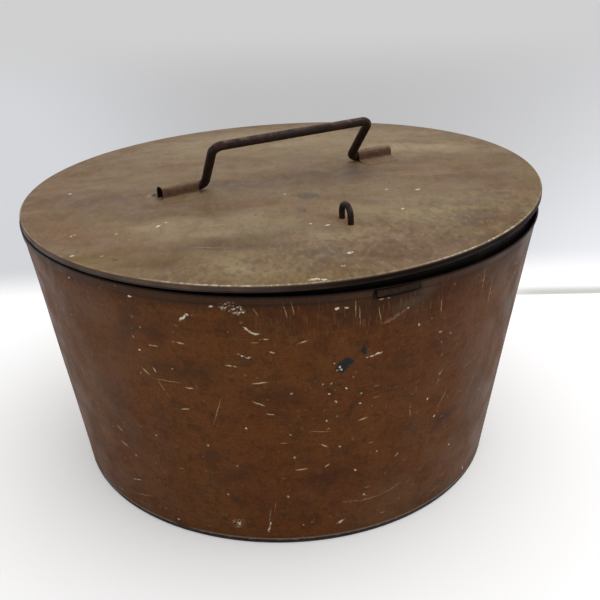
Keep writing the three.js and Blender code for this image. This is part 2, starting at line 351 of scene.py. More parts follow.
body = {
    "height": 150, "mouthRadius": 144, "footRadius": 124, "sheet": 0.5,
    "hemHeight": 4.4, "hemSlack": 0.1, "footFlange": 5, "footBend": 1.2,
    "seamWidth": 6, "seamFlank": 0.7, "seamFoot": 1.5,
    "seamProud": 0.765,  # the fold has been pressed down a little
    "beatenHeight": 3.6, "beatenShare": 0.95,  # where the hem is beaten flat, and how flat
    "beatenStart": -75, "beatenRun": 40,  # mm to the right of the front line
    "beatenEnd": 20,  # mm ahead of the side
    "inset": 0.1,  # keeps the round form inside the faceted one
    "wave": 0.35,  # how far the wall is out of true, always inwards
    "waveSize": 46, "stiff": 14, "stiffHem": 9,  # no waves near the foot and the hem
    "steps": 360, "rowStep": 3,
}
wallSlope = (body["mouthRadius"] - body["footRadius"]) / body["height"]
wallSlant = hypot(1, wallSlope)
slantAngle = degrees(atan(wallSlope))
hemFoot = body["height"] - body["hemHeight"]
hemThick = 2 * body["sheet"] + body["hemSlack"]


def wallRadius(z, out=0):
    return body["footRadius"] + wallSlope * z + out * wallSlant - body["inset"]


def wallLine(start, end, step, out=0):
    # a straight run of the wall's profile
    return [(wallRadius(z, out), z) for z in spaced(start, end, step)]


def widened(point, share):
    return Vector((point.x * share, point.y * share, point.z))


def dented(point):
    # shallow hollows left by handling, fading out at the stiff foot and hem
    s = body
    flat = Vector((point.x, point.y, 0))
    share = clamp(min(point.z / s["stiff"], (s["height"] - s["stiffHem"] - point.z) / s["stiff"]))
    spot = point / s["waveSize"]
    level = noise.noise(spot) + 0.5 * noise.noise(spot * 2.3)
    inwards = s["wave"] * share * (0.5 + 0.5 * max(-1, min(1, level)))
    return point - flat.normalized() * inwards


def seamed(point, outside):
    # the folded side seam stands proud at the back, under the hem; two rows of corners follow its edges
    s = body
    half = s["seamWidth"] / 2
    flat = hypot(point.x, point.y)
    row = round(abs(degrees(atan2(point.x, point.y))) * s["steps"] / 360)
    if row in (1, 2):
        edgeAt = copysign(half + (row - 1) * s["seamFlank"], point.x)
        point = Vector((edgeAt, sqrt(flat ** 2 - edgeAt ** 2), point.z))
    if outside and point.y > 0 and s["seamFoot"] < point.z < hemFoot + 0.2:
        rise = clamp((half + s["seamFlank"] - abs(point.x)) / s["seamFlank"])
        rise *= rise * (3 - 2 * rise) * clamp((point.z - s["seamFoot"]) / 2)
        point = widened(point, (flat + s["seamProud"] * rise) / flat)
    return point


def beaten(point):
    # to the right of the front the hem is beaten flat, so that its lower edge fades into the wall
    s = body
    rise = (point.z - hemFoot) / s["beatenHeight"]
    if 0 <= rise < 1 and point.y < 0:
        flat = hypot(point.x, point.y)
        share = clamp((point.x - s["beatenStart"]) / s["beatenRun"]) * clamp(-point.y / s["beatenEnd"])
        proud = (flat - wallRadius(point.z)) * s["beatenShare"] * share * (1 - rise)
        point = widened(point, (flat - proud) / flat)
    return point


def makeBodyWall(material):
    s = body
    sheet, bend = s["sheet"], s["footBend"]
    footCentre = (wallRadius(bend, -bend), bend)
    foldHeight = s["height"] - hemThick / 2
    foldCentre = (wallRadius(foldHeight, hemThick / 2 - sheet), foldHeight)
    edge = s["footRadius"] - s["footFlange"]
    start, end = bend + 1, foldHeight - 0.4
    profile = [(edge, 0), *arc(footCentre, bend, -90, -slantAngle, 6)]
    profile += wallLine(start, hemFoot, s["rowStep"])
    profile += [(wallRadius(hemFoot + 0.12, hemThick - sheet - 0.3), hemFoot)]  # the hem's lower lip
    profile += wallLine(hemFoot + 0.3, end, 1, hemThick - sheet)
    profile += arc(foldCentre, hemThick / 2, -slantAngle, 180 - slantAngle, 8)
    profile += wallLine(end, start, s["rowStep"], -sheet)
    profile += [*arc(footCentre, bend - sheet, -slantAngle, -90, 5), (edge, sheet), (edge, 0)]

    def shaped(point):
        point = dented(point)
        outside = hypot(point.x, point.y) > wallRadius(point.z, -sheet / 2)
        point = seamed(point, outside)
        return beaten(point) if outside else point

    mesh = revolve(profile, s["steps"], shaped)
    finishMesh("bodyWall", mesh, Matrix.Identity(4), "tin", material, "body_wall")


# Base plate: a disc with a turned-up lip, soldered inside the foot

basePlate = {
    "lip": 4, "gap": 0.3, "bend": 0.4, "solder": 1.4, "solderHeight": 2.4,
    "sag": 0.25, "sagSize": 40, "ringStep": 4, "steps": 240,
}


def makeBasePlate(material):
    s = basePlate
    sheet, lip, solder = body["sheet"], s["lip"], s["solder"]
    clear = sheet + s["gap"]  # above the foot's flange, and inside the wall
    centre = (wallRadius(clear + s["bend"], -clear - s["bend"]), clear + s["bend"])
    floorEdge = centre[0] - 0.2
    # up the lip's outer face, over its edge and down to the solder in the corner: mm up, mm inwards
    climb = [(lip - 0.3, 0), (lip, 0.15), (lip, 0.4), (lip - 0.3, sheet), (s["solderHeight"], sheet),
             (solder, sheet + solder / 4), (0.8, sheet + solder)]
    profile = [(r, clear) for r in spaced(0, floorEdge, s["ringStep"])]
    profile += arc(centre, s["bend"], -80, -slantAngle, 3)
    profile += [(wallRadius(clear + up, -clear - inwards), clear + up) for up, inwards in climb]
    profile += [(r, clear + sheet) for r in reversed(spaced(0, floorEdge - 3, s["ringStep"]))]

    def sagged(point):
        share = max(0, 1 - (hypot(point.x, point.y) / (floorEdge - 2)) ** 2)
        return point + Vector((0, 0, share * s["sag"] * (1 + noise.noise(point / s["sagSize"]))))

    mesh = revolve(profile, s["steps"], sagged)
    finishMesh("basePlate", mesh, Matrix.Identity(4), "tin", material, "base_plate")


# Hasp plate: a strip over the hem, its left end standing off

hasp = {
    "azimuth": -93, "offset": -3, "width": 22.4, "skew": 2, "sheet": 0.5, "top": 0.5, "drop": -0.3,
    "lift": 0.4, "gap": 0.3, "cell": 0.5, "wander": 0.12, "wanderSize": 1.6, "rounded": 0.14,
}
haspLow = hemFoot - hasp["drop"]
haspSlope = tan(radians(hasp["skew"]))


def makeHaspPlate(material):
    s = hasp
    half = s["width"] / 2
    high = body["height"] - s["top"]
    mesh = bmesh.new()
    rims = []
    for face in (0, 1):
        grid = []
        for x in spaced(-half, half, s["cell"]):
            column = []
            for z in spaced(haspLow, high, s["cell"]):
                nearEdge = min(x + half, half - x, high - z, z - haspLow)
                wander = s["wander"] * noise.noise(Vector((x, z, 3.0)) / s["wanderSize"])
                place = z + haspSlope * x + (wander if nearEdge < 0.1 else 0)
                rounded = s["rounded"] * max(0, 1 - nearEdge / 0.6) * (1 if face else -0.3)
                lift = s["lift"] * (half - x) / s["width"]
                out = hemThick - body["sheet"] + s["gap"] + lift + face * s["sheet"] - rounded
                radius = wallRadius(place, out)
                turn = radians(s["azimuth"]) + (x + s["offset"]) / body["mouthRadius"]
                column.append((radius * cos(turn), radius * sin(turn), place))
            grid.append(ring(mesh, column))
        bridgeAll(mesh, grid, closed=False)
        inner = grid[1:-1]
        rims.append([*grid[0], *[column[-1] for column in inner],
                     *reversed(grid[-1]), *[column[0] for column in reversed(inner)]])
    bridge(mesh, *rims)
    finishMesh("haspPlate", mesh, Matrix.Identity(4), "tin", material, "hasp_plate")


# Lid: crowned, sprung a little out of flat, and cocked on the mouth

lid = {
    "radius": 144.5, "edge": 3.2, "bend": 1.2, "crown": 3.8, "sheet": 0.5,
    "twist": 1.085, "twistAzimuth": -13.3,
    "offset": (0.25, -0.89), "tilt": 1.861, "tiltAzimuth": -18.1,
    "wave": 0.22, "waveSize": 38, "stiff": 4, "calmRun": 20,  # no waves near the edge
    "inset": 0.1, "ringStep": 2.6, "steps": 320,
}


def crownAt(radius):
    return lid["crown"] * (1 - (radius / lid["radius"]) ** 2)


def twistAt(x, y):
    share = (x * x + y * y) / lid["radius"] ** 2
    return lid["twist"] * share * cos(2 * (atan2(y, x) - radians(lid["twistAzimuth"])))


def lidTop(x, y):
    return crownAt(hypot(x, y)) + twistAt(x, y)


def lidPlace():
    # the lid's own frame: its lowest edge is where the frame's lid has it
    climb = tan(radians(lid["tilt"])) * lid["radius"]
    lowest = 0
    for azimuth in range(360):
        x, y = (lid["radius"] * f(radians(azimuth)) for f in (cos, sin))
        up = climb * cos(radians(azimuth - lid["tiltAzimuth"]))
        lowest = min(lowest, up + twistAt(x, y) - lid["edge"])
    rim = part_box("lid_plate")[0].z / mm
    away = radians(lid["tiltAzimuth"])
    axis = Vector((sin(away), -cos(away), 0))
    turn = Matrix.Rotation(radians(lid["tilt"]), 4, axis)
    return Matrix.Translation((*lid["offset"], rim - lowest)) @ turn


lidFrame = lidPlace()


def sprung(point):
    # bends the flat lid to its twist, and adds the shallow waves of old thin sheet
    flat = hypot(point.x, point.y)
    calm = clamp((lid["radius"] - lid["stiff"] - flat) / lid["calmRun"])
    wave = lid["wave"] * calm * noise.noise(Vector((point.x, point.y, 0)) / lid["waveSize"])
    return point + Vector((0, 0, twistAt(point.x, point.y) + wave))


def makeLidPlate(material):
    s = lid
    sheet, foot = s["sheet"], -s["edge"]
    out = s["radius"] - s["inset"]
    bendRadius = out - s["bend"]
    corner = (bendRadius, crownAt(bendRadius) - s["bend"])
    rings = spaced(0, bendRadius, s["ringStep"])[:-1]
    profile = [(r, crownAt(r)) for r in rings]
    profile += [*arc(corner, s["bend"], 90, 0, 7), (out, foot + 0.15), (out - 0.12, foot)]
    profile += [(out - sheet + 0.12, foot), (out - sheet, foot + 0.15)]
    profile += arc(corner, s["bend"] - sheet, 0, 90, 5)
    profile += [(r, crownAt(r) - sheet) for r in reversed(rings)]
    mesh = revolve(profile, s["steps"], sprung)
    finishMesh("lidPlate", mesh, lidFrame, "lid", material, "lid_plate")


# Collar: the ring under the lid that plugs the mouth

collar = {
    "depth": 16, "room": 3.3, "flange": 4, "lead": 1, "ease": 0.4, "gap": 0.3, "sheet": 0.5, "bend": 1,
    "wave": 0.15, "waveSize": 30, "rowStep": 2.5, "steps": 280,
}


def makeLidCollar(material):
    s = collar
    sheet, foot = s["sheet"], -s["depth"]
    radius = body["mouthRadius"] - body["sheet"] - s["room"]
    inner = radius - s["flange"]

    def under(r):
        return crownAt(r) - sheet - s["gap"]

    corner = (radius - s["bend"], under(radius) - s["bend"])
    profile = [(radius - s["ease"], foot)]
    profile += [(radius, z) for z in spaced(foot + s["lead"], corner[1], s["rowStep"])]
    profile += arc(corner, s["bend"], 15, 90, 4)
    profile += [(inner, under(inner)), (inner, under(inner) - sheet)]
    profile += arc(corner, s["bend"] - sheet, 90, 0, 4)
    profile += [(radius - sheet, z)
                for z in reversed(spaced(foot + s["lead"], corner[1] - s["bend"], s["rowStep"]))]
    profile += [(radius - s["ease"] - sheet, foot), (radius - s["ease"], foot)]

    def hammered(point):
        flat = Vector((point.x, point.y, 0)).normalized()
        return sprung(point) + flat * s["wave"] * (noise.noise(point / s["waveSize"]) - 1)

    mesh = revolve(profile, s["steps"], hammered)
    finishMesh("lidCollar", mesh, lidFrame, "lid", material, "lid_collar")


# Saddles: strips bent over the wire and soldered down

saddle = {
    "length": 21.8, "sheet": 0.5, "room": 0.35, "front": 9, "back": 4.5, "tip": 0.05,
    "standOff": 0.35, "root": 1.1, "gap": 0.3, "slices": 30, "strip": 1.2,
    "wander": 0.09, "wanderSize": 3,  # of the flange's edge
    "cornerCut": 0.14, "cornerRun": 1.2,
    "lump": 0.07, "lumpSize": 1.7,  # of the solder
    "cutBack": 1.2, "cutStart": 0.85,  # the left one's open end, from this share of its length
}
handle = {
    "wire": 2.5, "foot": 91.4, "splay": 0.95, "reach": 33.7, "footBend": 4.2, "gripBend": 5,
    "tail": 16, "lean": 40.25, "sides": 28, "step": 1.1,
    "thin": 0.975, "pits": [(0.022, 3.1), (0.012, 0.9)],  # shares of the wire, with the pits' size in mm
}
saddleStart = handle["foot"] / 2 + handle["footBend"] + saddle["standOff"]
saddleSeat = lidTop(saddleStart, 0)
saddleBore = handle["wire"] + saddle["room"]
flangeRoot = saddleBore + saddle["sheet"] + saddle["root"]
pivotHeight = lidTop(handle["foot"] / 2 - handle["wire"], 0) + saddle["gap"] + handle["wire"]
boreHeight = pivotHeight - saddleSeat - saddle["gap"]


def saddleSection():
    # upper side from the front flange's tip over the wire to the back one's, then the side below
    s = saddle
    sheet, root, tip, strip = s["sheet"], s["root"], s["tip"], s["strip"]
    outer = saddleBore + sheet
    front, back = outer + s["front"], outer + s["back"]
    above = [(-front, 0), (-front + 0.1, tip)]
    above += [(-x, sheet) for x in spaced(front - 2.5, flangeRoot + 0.2, strip)]
    above += arc((-flangeRoot, sheet + root), root, -90, 0, 5)[1:]
    above += arc((0, boreHeight), outer, 180, 0, 16)
    above += arc((flangeRoot, sheet + root), root, 180, 270, 5)[:-1]
    above += [(x, sheet) for x in spaced(flangeRoot + 0.2, back - 2, strip)]
    above += [(back - 0.1, tip), (back, 0)]
    below = [(x, 0) for x in spaced(back - 1, saddleBore, strip)]
    below += arc((0, boreHeight), saddleBore, 0, 180, 16)
    below += [(x, 0) for x in spaced(-saddleBore, -front + 1, strip)]
    return above, below


def closeStrip(mesh, upper, lower):
    # the cut end of a strip: quads between two rows that need not have the same length
    steps = len(upper) - 1
    for i in range(steps):
        near, far = (round(k * (len(lower) - 1) / steps) for k in (i, i + 1))
        corners = [upper[i], upper[i + 1], lower[far], lower[near]]
        corners = [v for k, v in enumerate(corners) if v not in corners[:k]]
        if len(corners) > 2:
            mesh.faces.new(corners)


def makeSaddle(name, side, node, material):
    s = saddle
    above, below = saddleSection()
    mesh = bmesh.new()
    rows = []
    for i in range(s["slices"] + 1):
        share = i / s["slices"]
        x = side * (saddleStart + share * s["length"])
        endward = max(0, 1 - min(share, 1 - share) * s["length"] / s["cornerRun"])
        row = []
        for y, z in above + below:
            wide = abs(y) - flangeRoot
            cut = 0
            if wide > 0:
                # the flange's edge wanders, and its corners are cut round
                limit = (s["front"] if y < 0 else s["back"]) - s["root"]
                wander = s["wander"] * noise.noise(Vector((x, y, side * 9.0)) / s["wanderSize"])
                wander -= s["cornerCut"] * endward * wide / limit
                y = copysign(flangeRoot + wide * (1 + wander), y)
                z *= 1 - 0.9 * endward
            elif side < 0:
                # the left one's open end is cut back on the near side
                run = (share - s["cutStart"]) / (1 - s["cutStart"])
                cut = s["cutBack"] * clamp(run) * clamp((2 - y) / 4)
            lower = clamp((boreHeight - z) / boreHeight)
            drop = lidTop(x, y) - saddleSeat
            seat = saddleSeat + s["gap"] * (1 - lower) + 0.02 + drop * lower
            lump = noise.noise(Vector((x, y, z)) / s["lumpSize"]) if z > s["sheet"] * 0.8 else 0
            row.append(Vector((x - side * cut, y, seat + z + s["lump"] * lump)))
        rows.append(ring(mesh, row))
    bridgeAll(mesh, rows)
    half = len(above)
    for row in (rows[0], rows[-1]):
        closeStrip(mesh, row[:half], [row[0], *reversed(row[half:]), row[half - 1]])
    finishMesh(name, mesh, lidFrame, "lid", material, node)


# Handle: one bent wire, its tails in the saddles

def makeHandle(material):
    s = handle
    foot = s["foot"] / 2
    outline = [(saddleStart + s["tail"], 0), (foot, 0), (foot + s["splay"], s["reach"])]
    mesh = bentWire(s, outline, [s["footBend"], s["gripBend"]])
    lean = Matrix.Rotation(radians(s["lean"]), 4, "X")
    place = lidFrame @ Matrix.Translation((0, 0, pivotHeight)) @ lean
    finishMesh("wireHandle", mesh, place, "bail", material, "handle")


# Staple: one bent wire through the lid, clenched below

staple = {
    "azimuth": -93, "reach": 85.2, "wire": 1.6, "span": 9.5, "height": 8.5,
    "bend": 2.3, "clench": 6, "gap": 0.3, "sides": 20, "step": 0.7, "thin": 0.97, "pits": [(0.03, 1.8)],
}
stapleTurn = radians(staple["azimuth"])


def stapleSpot(reach):
    # the place that far from the lid's middle, along the staple
    return reach * cos(stapleTurn), reach * sin(stapleTurn)


def makeStaple(material):
    s = staple
    half = s["span"] / 2
    out = half + s["clench"]
    left, middle, right = (lidTop(*stapleSpot(s["reach"] + x)) for x in (-out, 0, out))
    below = min(left, right) - lid["sheet"] - s["gap"] - s["wire"]
    outline = [(out, below), (half, below), (half, middle + s["height"])]
    mesh = bentWire(s, outline, [s["bend"], half - 0.01], s["reach"])
    place = lidFrame @ Matrix.Rotation(stapleTurn, 4, "Z")
    finishMesh("wireStaple", mesh, place, "lid", material, "staple")


# Finishes

def wallPlane(place):
    # the wall unrolled, its mm to the right of the front line, and its mm up from the floor
    axes = addNode(place, "SeparateXYZ", {0: place}).node
    ahead = addNode(place, "Math", {0: axes.outputs["Y"], 1: -1.0}, operation="MULTIPLY")
    turn = addNode(place, "Math", {0: axes.outputs["X"], 1: ahead}, operation="ARCTAN2")
    along = addNode(place, "Math", {0: turn, 1: wallMarks["radius"]}, operation="MULTIPLY")
    height = axes.outputs["Z"]
    return addNode(place, "CombineXYZ", {"X": along, "Y": height}), along, height


# what shows on the front of the wall: mm right of the front line, mm up, length, tilt
wallMarks = {
    "radius": 134,
    "flakes": [(-100, 137, 5, 43), (-97, 139, 3, 0), (-73, 133, 4, -40), (-70, 131, 4, -12),
               (-76, 119, 3.6, -30), (-73, 118, 3, 10), (-124, 144, 2, 0), (-87, 144, 1.8, 0),
               (-36, 142, 2.2, 15), (-32, 142, 2.2, -30), (-68, 14, 4, 82), (-69, 10, 3, 70),
               (-29, 12, 4, 30), (-34, 110, 2.6, 60), (65, 9, 4, -60), (-93, 18, 2, 0),
               (-20, 114, 3.6, 12), (-16, 115, 3.6, 18)],
    "clusters": [(-80, 145, 6, 10), (-76, 143, 4, 40), (-86, 13, 6, 40)],
    "dashes": [(-17, 144, 2, 5), (-14, 144, 1.4, 5), (-104, 123, 5, -6), (-117, 119, 4, 4),
               (-66, 128, 3.4, 8), (-81, 113, 5, -7), (-63, 121, 2.5, -21), (-124, 103, 4, -45),
               (-119, 105, 2.5, -70), (-102, 98, 4, 0), (-69, 104, 6.5, 8), (-106, 85, 4.2, 12),
               (-70, 92, 5, -24), (-65, 86, 3, -11), (-153, 58, 4, -34), (-152, 48, 5.5, -20),
               (-51, 51, 5.5, 6), (-38, 52, 2.6, 35), (-40, 65, 4, -24), (-50, 126, 4, 23),
               (16, 118, 2.6, -10), (21, 93, 3, 53), (-21, 78, 4, 11), (0, 49, 3.4, 46),
               (-30, 12, 4, 33), (-149, 25, 7, 16)],
    "hairs": [(-113, 100, 12, 2), (-116, 95, 9, -62), (-90, 86, 14, -108), (-147, 15, 14, 16),
              (-65, 26, 5, -98), (-68, 20, 9, -99), (-42, 74, 8, -10), (-57, 143, 7, -78),
              (-54, 144, 6, -80), (-28, 141, 8, -87), (-26, 137, 8, -82), (-17, 136, 8, -78),
              (14, 133, 8, -80), (20, 88, 3, -111), (45, 91, 11, 21), (26, 76, 8, -116), (5, 76, 8, -82),
              (-24, 25, 9, -6), (-14, 24, 11, 3), (-5, 25, 9, 12), (2, 27, 6, 24), (35, 11, 7, 14),
              (-69, 142, 4, -65), (40, 138, 12, -84), (48, 130, 14, -86)],
    "dots": [(-161, 144), (-145, 43), (-77, 77), (-97, 64), (-56, 73), (-83, 53), (-90, 33), (-58, 33),
             (-123, 7), (-131, 12), (-50, 13), (-4, 137), (3, 126), (23, 115), (-35, 91), (-17, 85),
             (-39, 80), (22, 66), (40, 39), (-17, 28), (-55, 98), (-74, 142), (-122, 128), (-109, 108),
             (-127, 122), (-125, 115), (-36, 113), (-35, 109), (-33, 109), (-27, 104), (-41, 102),
             (-37, 102), (-30, 98), (-38, 96), (-23, 94), (-23, 88), (-34, 82), (-38, 75), (-25, 68),
             (-32, 63), (-12, 55), (-23, 46), (15, 79)],
    "bare": [(-32, 112, 6, 25), (-30, 113, 5, 10), (-33, 110, 5, 60), (-31, 111, 4, 0), (-23, 118, 2, 10)],
    # soot: dark stains; the broad last one, just under the hem, is partly painted shade from the lid's
    # edge
    "soot": [(-96, 57, 12, 80), (-115, 126, 9, -20), (-37, 44, 22, 10), (-84, 47, 22, 30),
             (76, 108, 20, 80), (56, 70, 26, 80), (-104, 108, 30, 10), (-60, 96, 22, 0),
             (30, 62, 16, 20), (-130, 126, 24, 60), (-6, 141, 44, 0)],
    # grey dusty patches at the sides and the foot, partly painted sheen where the wall turns away
    "dustAndSheen": [(-152, 118, 50, -70), (-164, 80, 60, -80), (74, 60, 120, 84), (-4, 8, 34, 0)],
    "scored": [(-30, 139, 120, 0)],
    "smear": [(-9, 134, 9, 27), (-12, 132, 6, 20)],
    "scuff": [(5, 144, 8, 0), (-3, 139, 14, 10)],
    # shade: painted shadow in the slit at the hasp strip's left end and along under its lower edge
    "shade": [(-10, 145.0, 21, 2), (-20.4, 147.4, 5, 90)],  # beside the hasp strip
}


def foundOnWall(plane):
    # a mask for each kind of mark, laid on a place that is more or less ragged: width in mm, softness
    wandering = ragged(plane, 4, 1.0)
    cut = ragged(plane, 1.6, 2.0)
    found = {name: marks(where, wallMarks[name], width, soft) for name, where, width, soft in (
        ("flakes", cut, 0.95, 0.4), ("clusters", cut, 4.5, 0.6), ("dashes", wandering, 0.66, 0.5),
        ("hairs", wandering, 0.38, 0.6), ("bare", ragged(plane, 2.2, 3.2), 5, 0.3),
        ("soot", ragged(plane, 9, 12), 9, 0.9), ("dustAndSheen", plane, 46, 0.95),
        ("scored", plane, 26, 0.9), ("smear", wandering, 1.3, 0.9), ("scuff", wandering, 5, 0.9),
        ("shade", plane, 1.6, 0.3))}
    dots = marks(cut, [(x, y, 1, 0) for x, y in wallMarks["dots"]], 1)
    clustered = meet(found["clusters"], patches(plane, 1.1, 0.5, 0.56, seed=21))
    found["chips"] = either(found["flakes"], clustered, dots)
    return found


def hemAndFoot(plane, height):
    # the hem is darkened grey-brown, partly grime and partly painted shade under the lid's edge, with
    # painted shade along its lower lip and near-black painted shade at its top fold; the foot goes darker
    # towards the floor and ends in a dark line under a grey rubbed stripe, nicked pale
    groove = meet(ramp(height, hemFoot - 1.2, hemFoot),
                  ramp(height, hemFoot + 1.2, hemFoot + 0.5),
                  patches(plane, 26, 0.4, 0.56, (2, 1), seed=27))
    rubbed = meet(ramp(height, 4.1, 3.6), ramp(height, 2.7, 3.1),
                  patches(plane, 22, 0.36, 0.5, (2, 1), seed=28))
    nick = meet(ramp(height, 4.2, 1.4), patches(plane, 2.0, 0.54, 0.6, (1.6, 1), seed=25))
    # painted shade: the hem darkened under the lid's edge, a dark line above its lower lip, and its top
    # fold near-black in the gap's shadow
    hem = [(ramp(height, hemFoot - 2.5, 149), 0.58, "#34261c"), (groove, 0.5, "#1d130c"),
           (ramp(height, 148.4, 149.8), 0.75, "#120c08")]
    foot = [(ramp(height, 7, 1.8), 0.4, "#33241c"), (rubbed, 0.6, "#867b70"), (nick, 0.7, "#97897a"),
            (ramp(height, 2.9, 2.1), 0.85, "#262327")]
    return hem, foot


def besideSeam(plane, along):
    # grime on both sides of the seam, whose middle is half way round, and paint rubbed on its top
    fromFront = addNode(along, "Math", {0: along}, operation="ABSOLUTE")
    seam = pi * wallMarks["radius"]
    beside = meet(ramp(fromFront, seam - 6, seam - 3.4),
                  ramp(fromFront, seam - 2.6, seam - 3.1))
    top = meet(ramp(fromFront, seam - 2.9, seam - 2.2),
               patches(plane, 7, 0.46, 0.6, (1, 2), seed=29))
    return [(beside, 0.7, "#1f130b"), (top, 0.4, "#74502f")]


def insideMask(place, height):
    # 1 on the inner side of the wall, whose radius is less than the sheet's middle
    across = addNode(place, "VectorMath", {0: place, 1: (1, 1, 0)}, operation="MULTIPLY")
    flat = addNode(place, "VectorMath", {0: across}, out="Value", operation="LENGTH")
    atFoot = body["footRadius"] - body["inset"] - body["sheet"] / 2
    middle = addNode(place, "Math", {0: height, 1: wallSlope, 2: atFoot}, operation="MULTIPLY_ADD")
    over = addNode(place, "Math", {0: middle, 1: flat}, operation="SUBTRACT")
    return addNode(place, "Math", {0: over, 1: 0.25}, operation="GREATER_THAN")


def bakedPaint(tree):
    # brown baked paint on tinplate, nearly matt with age: it gives the eye a warm clouded brown with a
    # weak sheen where the form turns away, under scratches that reach a cream undercoat and one chip
    # down to steel
    place = surfacePlace(tree)
    plane, along, height = wallPlane(place)
    found = foundOnWall(plane)
    broken = patches(plane, 1.5, 0.38, 0.54, seed=20)
    scraped = patches(plane, 2.0, 0.34, 0.5, seed=26)
    worn = patches(place, 34, 0.38, 0.54, seed=23)
    scored = meet(found["scored"], patches(plane, 1.1, 0.54, 0.68, (0.8, 7), 5, seed=22))
    colour = layered(srgb("#5f3513"), clouds(place, [
        (64, 0.42, 0.6, 0.6, "#613917"), (38, 0.46, 0.64, 0.6, "#53280f"),
        (20, 0.5, 0.68, 0.45, "#482912"), (15, 0.52, 0.7, 0.4, "#5e3a1f"),
        (9, 0.52, 0.66, 0.45, "#3d2511"), (6, 0.52, 0.68, 0.4, "#5c2f1a"),
        (4.5, 0.54, 0.68, 0.45, "#38240f"), (3.2, 0.5, 0.7, 0.45, "#654021"),
        (1.8, 0.5, 0.7, 0.4, "#3a200c"), (1.1, 0.56, 0.74, 0.5, "#75502c")]))
    colour = layered(colour, clouds(plane, [
        (1.0, 0.52, 0.74, 0.3, "#704b2b", 22, 0.7), (1.0, 0.54, 0.74, 0.22, "#3c220f", 0.8, 16)]))
    # grime, partly painted shade from the lid's edge, darkens the band under the hem; the wall's turn to
    # the left and the foot are greyed, dusty and partly painted sheen
    grime = meet(ramp(height, 122, 141), ramp(along, -150, -70),
                 patches(plane, 12, 0.3, 0.6, (2, 1), seed=24))
    colour = layered(colour, [
        (found["dustAndSheen"], 0.2, "#6b5540"), (found["soot"], 0.42, "#2b1e16"), (grime, 0.5, "#2f1b0d"),
        # painted shade from the lid's edge: a darker band just under the hem
        (ramp(height, 139, 145), 0.3, "#24150c"), (scored, 0.32, "#7d5a34"),
        (found["scuff"], 0.35, "#5b4f3e"), (meet(found["smear"], broken), 0.5, "#8a7869"),
        (found["bare"], 0.95, "#1d2426")])
    # fine wear all round: crumbs, dashes and dots, and upright scratches
    colour = layered(colour, [
        (meet(specks(plane, 5, 1.9, 0.6, seed=1), worn), 0.6, "#87623c"),
        (meet(specks(plane, 11, 4.5, 0.3, (1, 0.2), seed=2), worn), 0.6, "#a08260"),
        (meet(specks(plane, 12, 2.0, 0.3, seed=3), broken), 0.8, "#b8a585"),
        (meet(specks(plane, 15, 5, 0.2, (0.1, 1), 6, seed=4), worn), 0.5, "#8d6a45"),
        (meet(found["hairs"], scraped), 0.75, "#ab8f68"),
        (meet(found["dashes"], scraped), 0.85, "#c4ae8d"),
        (meet(found["chips"], broken), 0.95, "#d9cdb6")])
    hem, foot = hemAndFoot(plane, height)
    inside = insideMask(place, height)
    rusty = meet(inside, patches(place, 14, 0.52, 0.66, seed=12))
    colour = layered(colour, [
        *besideSeam(plane, along), *hem, (found["shade"], 0.95, "#080403"), *foot,
        (inside, 0.9, "#33271f"), (rusty, 0.6, "#5c3520")])
    return shaderInputs(colour, uneven(place, 16, 0.42, 0.6, 13), 0.07, [
        *grain(place, [(3.2, 0.3, 0.05, 14), (0.8, 0.3, 0.02, 15)]), (found["chips"], -0.1)])


# what shows on the lid, in mm from its middle: (x, y, length, tilt)
lidMarks = {
    "chips": [(-131, -51, 1.8, 10), (-125, -26, 3.6, 40), (-119, -59, 1.6, 0), (-106, -37, 1.4, 0),
              (-85, -39, 4, 30), (-81, -37, 2, 0), (50, -65, 3, 0), (-21, -118, 3.4, 5),
              (-15, -85, 2.6, 0), (28, -85, 2.6, 0), (-13, -33, 1.2, 0), (36, -56, 1.4, 0),
              (-47, -133, 4.5, -10), (-44, -135, 4, -30), (-111, 42, 1.6, 0), (-21, -79, 1.2, 0),
              (-30, -128, 1.6, 0)],
    "hairs": [(-72, -80, 19, -36), (-60, -55, 12, -20), (10, -70, 10, -40), (60, -40, 14, -15)],
    "pits": [(-39, -53, 1.6, 0), (-16, -62, 1.6, 0), (-115, -67, 3, -30)],
    "plug": [(-4, -43, 12, -26)], "plugFloor": [(-4, -43, 8, -26)],
    "rust": [(96, -102, 60, 46), (64, -122, 30, 26)],
    "wornRim": [(-77, -120, 64, -32), (44, -135, 70, 18)],
    # mouth: painted shadow at the left saddle's open end; halo: a pale patch beside it
    "mouth": [(-71.7, 7.0, 5, -50)], "halo": [(-75.5, 8.5, 3, -26)],  # at the left saddle's open end
}
lidTones = {
    "umber": "#5a4330", "mauve": "#6b5345", "slate": "#584f47", "straw": "#8a7743", "beige": "#a3906f",
    "tan": "#7f5e42", "rust": "#86562f", "olive": "#756432", "walnut": "#62452b",
}
